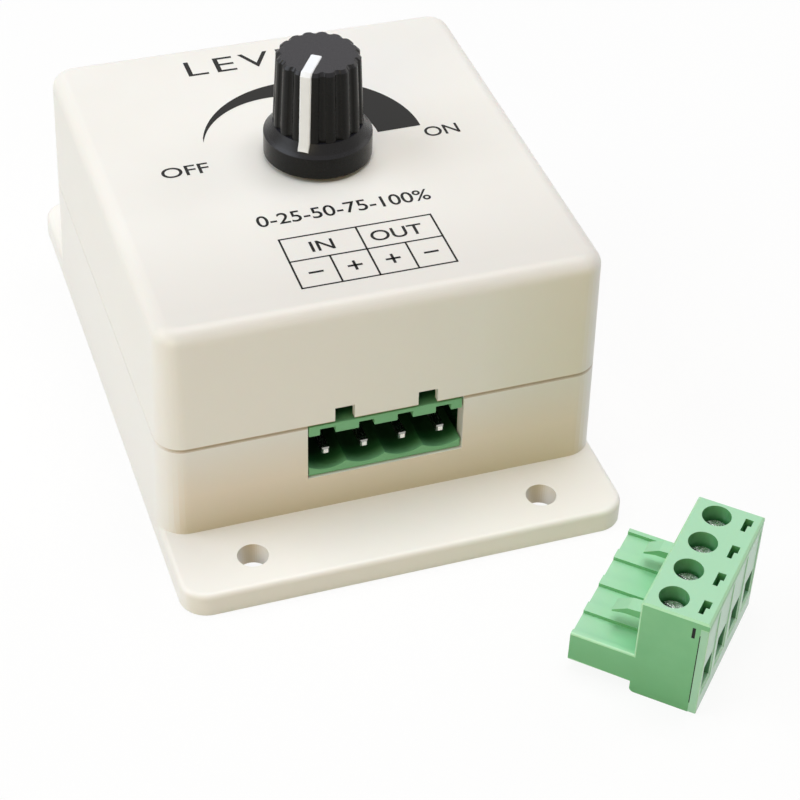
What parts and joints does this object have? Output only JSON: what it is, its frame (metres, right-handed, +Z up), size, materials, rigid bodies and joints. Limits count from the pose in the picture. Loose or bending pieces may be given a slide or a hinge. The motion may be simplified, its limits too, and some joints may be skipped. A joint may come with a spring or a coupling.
{
  "type": "led dimmer",
  "caption": "Flanged plastic box with a ribbed knob that turns a potentiometer, a pin socket in its front wall, and the socket's screw-clamp plug lying taken out.",
  "frame": {"origin": "centre of the base's underside, on the surface that it is screwed to", "axes": "+X along the terminal face, to the right as seen from in front of it; +Y from the terminal face to the back; +Z up, along the knob's shaft"},
  "size_m": [0.0677, 0.1192, 0.0495],
  "materials": {
    "case_cream": "fine satin moulding",
    "knob_black": "soft satin",
    "pointer_white": "satin",
    "terminal_green": "satin moulding",
    "pin_tin": "tin plated",
    "screw_steel": "zinc plated",
    "clamp_nickel": "nickel plated",
    "board_laminate": "solder mask",
    "wafer_phenolic": "phenolic paper",
    "track_carbon": "printed carbon",
    "can_tinplate": "pressed tinplate",
    "bushing_brass": "turned",
    "shaft_aluminium": "turned",
    "wiper_plastic": "moulded",
    "epoxy_black": "moulded",
    "capacitor_sleeve": "shrunk sleeve",
    "resistor_lacquer": "glazed",
    "ceramic_lacquer": "fired ceramic"
  },
  "bodies": {
    "box": {"base_shell": "case_cream", "board_screws": "screw_steel", "case_screws": "screw_steel", "ceramic_capacitors": "ceramic_lacquer", "chip_legs": "pin_tin", "circuit_board": "board_laminate", "control_chip": "epoxy_black", "cover_shell": "case_cream", "filter_capacitor": "capacitor_sleeve", "flywheel_diode": "epoxy_black", "header_pins": "pin_tin", "plug_contacts": "pin_tin", "plug_housing": "terminal_green", "plug_wire_face": "terminal_green", "pot_bushing": "bushing_brass", "pot_can": "can_tinplate", "pot_terminals": "pin_tin", "pot_track": "track_carbon", "pot_wafer": "wafer_phenolic", "resistors": "resistor_lacquer", "terminal_header": "terminal_green", "transistor_body": "epoxy_black", "transistor_tab": "pin_tin"},
    "knob": {"knob": "knob_black", "knob_pointer": "pointer_white", "pot_shaft": "shaft_aluminium", "pot_wiper": "wiper_plastic"},
    "screw_1": {"plug_screw_1": "screw_steel"},
    "clamp_1": {"plug_clamp_1": "clamp_nickel"},
    "screw_2": {"plug_screw_2": "screw_steel"},
    "clamp_2": {"plug_clamp_2": "clamp_nickel"},
    "screw_3": {"plug_screw_3": "screw_steel"},
    "clamp_3": {"plug_clamp_3": "clamp_nickel"},
    "screw_4": {"plug_screw_4": "screw_steel"},
    "clamp_4": {"plug_clamp_4": "clamp_nickel"}
  },
  "joints": [
    {"name": "knob_turn", "type": "hinge", "parent": "box", "child": "knob", "pos_m": [0.0008, 0.001, 0.035], "axis": [0, 0, 1], "range_deg": [-292, 0]},
    {"name": "screw_1_turn", "type": "hinge", "parent": "box", "child": "screw_1", "pos_m": [0.02229, -0.07016, 0.0105], "axis": [0, 0, 1], "range_deg": [-1520, 0]},
    {"name": "clamp_1_lift", "type": "slide", "parent": "box", "child": "clamp_1", "axis": [0, 0, 1], "range_m": [0, 0.0019]},
    {"name": "screw_2_turn", "type": "hinge", "parent": "box", "child": "screw_2", "pos_m": [0.02579, -0.06648, 0.0105], "axis": [0, 0, 1], "range_deg": [-1520, 0]},
    {"name": "clamp_2_lift", "type": "slide", "parent": "box", "child": "clamp_2", "axis": [0, 0, 1], "range_m": [0, 0.0019]},
    {"name": "screw_3_turn", "type": "hinge", "parent": "box", "child": "screw_3", "pos_m": [0.0293, -0.0628, 0.0105], "axis": [0, 0, 1], "range_deg": [-1520, 0]},
    {"name": "clamp_3_lift", "type": "slide", "parent": "box", "child": "clamp_3", "axis": [0, 0, 1], "range_m": [0, 0.0019]},
    {"name": "screw_4_turn", "type": "hinge", "parent": "box", "child": "screw_4", "pos_m": [0.0328, -0.05912, 0.0105], "axis": [0, 0, 1], "range_deg": [-1520, 0]},
    {"name": "clamp_4_lift", "type": "slide", "parent": "box", "child": "clamp_4", "axis": [0, 0, 1], "range_m": [0, 0.0019]}
  ],
  "couplings": [
    {"joint": "screw_1_turn", "follows": "clamp_1_lift", "rad_per_m": -13963},
    {"joint": "screw_2_turn", "follows": "clamp_2_lift", "rad_per_m": -13963},
    {"joint": "screw_3_turn", "follows": "clamp_3_lift", "rad_per_m": -13963},
    {"joint": "screw_4_turn", "follows": "clamp_4_lift", "rad_per_m": -13963}
  ]
}
